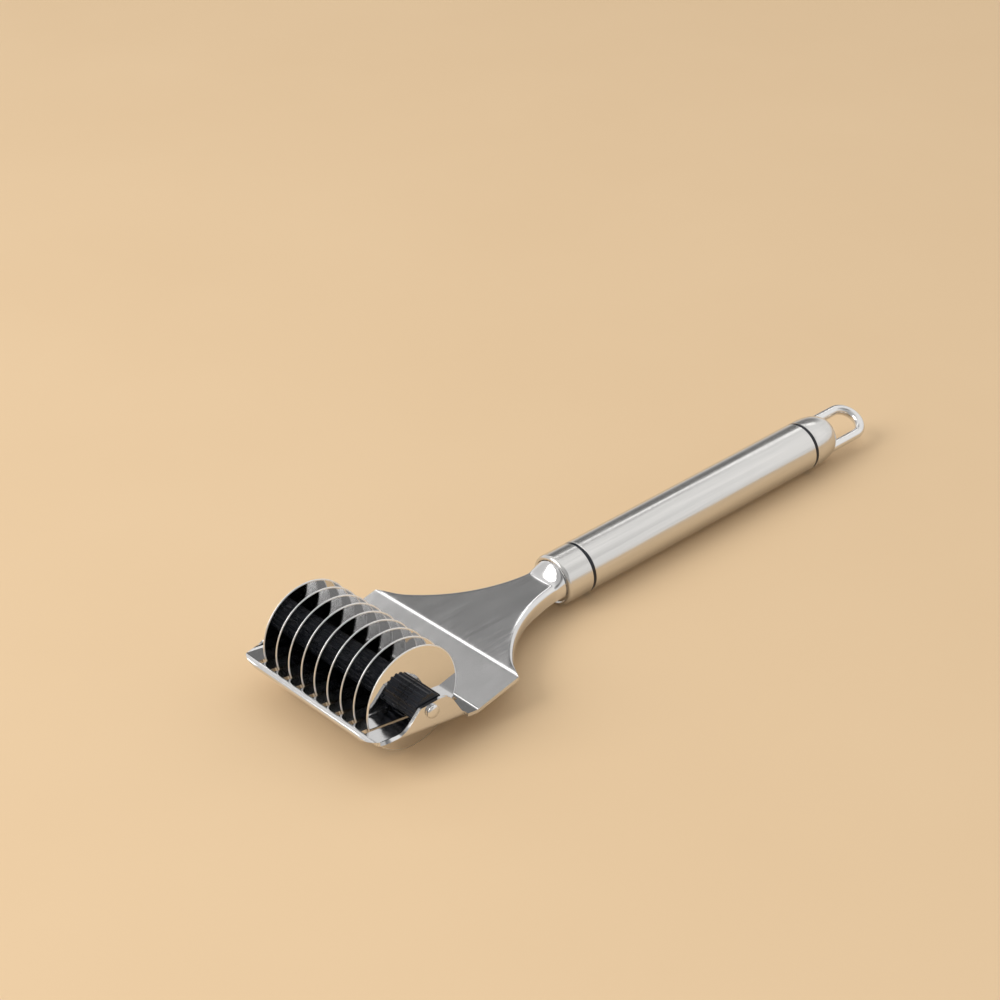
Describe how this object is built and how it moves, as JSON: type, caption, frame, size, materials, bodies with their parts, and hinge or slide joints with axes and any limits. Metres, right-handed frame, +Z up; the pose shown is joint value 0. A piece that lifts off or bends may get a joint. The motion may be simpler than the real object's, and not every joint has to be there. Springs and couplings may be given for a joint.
{
  "type": "herb chopper",
  "caption": "Roller herb chopper: thin steel disc blades with black ribbed spacers in a slotted sheet steel head, on a round steel handle with two black rings and a hanging eye.",
  "frame": {"origin": "on the board, straight below the middle of the roller axis", "axes": "+X along the roller axis, +Y back along the handle, +Z up from the board the tool lies on"},
  "size_m": [0.0628, 0.2214, 0.03],
  "materials": {
    "sheet_steel": "satin, fine grain along the handle",
    "blade_steel": "mirror polished with a ground edge",
    "satin_steel": "satin, brushed along the tube",
    "polished_steel": "polished",
    "axle_steel": "bright drawn rod",
    "black_plastic": "moulded, slight sheen"
  },
  "bodies": {
    "frame": {"head_plate": "sheet_steel", "axle": "axle_steel", "axle_heads": "polished_steel", "front_sleeve": "satin_steel", "front_ring": "black_plastic", "handle_tube": "satin_steel", "rear_ring": "black_plastic", "end_cap": "satin_steel", "hanging_eye": "polished_steel"},
    "roller": {"blade_1": "blade_steel", "blade_2": "blade_steel", "blade_3": "blade_steel", "blade_4": "blade_steel", "blade_5": "blade_steel", "blade_6": "blade_steel", "blade_7": "blade_steel", "blade_8": "blade_steel", "blade_9": "blade_steel", "spacer_1": "black_plastic", "spacer_2": "black_plastic", "spacer_3": "black_plastic", "spacer_4": "black_plastic", "spacer_5": "black_plastic", "spacer_6": "black_plastic", "spacer_7": "black_plastic", "spacer_8": "black_plastic", "end_spacer_left": "black_plastic", "end_spacer_right": "black_plastic"}
  },
  "joints": [
    {"name": "roller_spin", "type": "hinge", "parent": "frame", "child": "roller", "pos_m": [0, 0, 0.015], "axis": [1, 0, 0], "continuous": true}
  ]
}
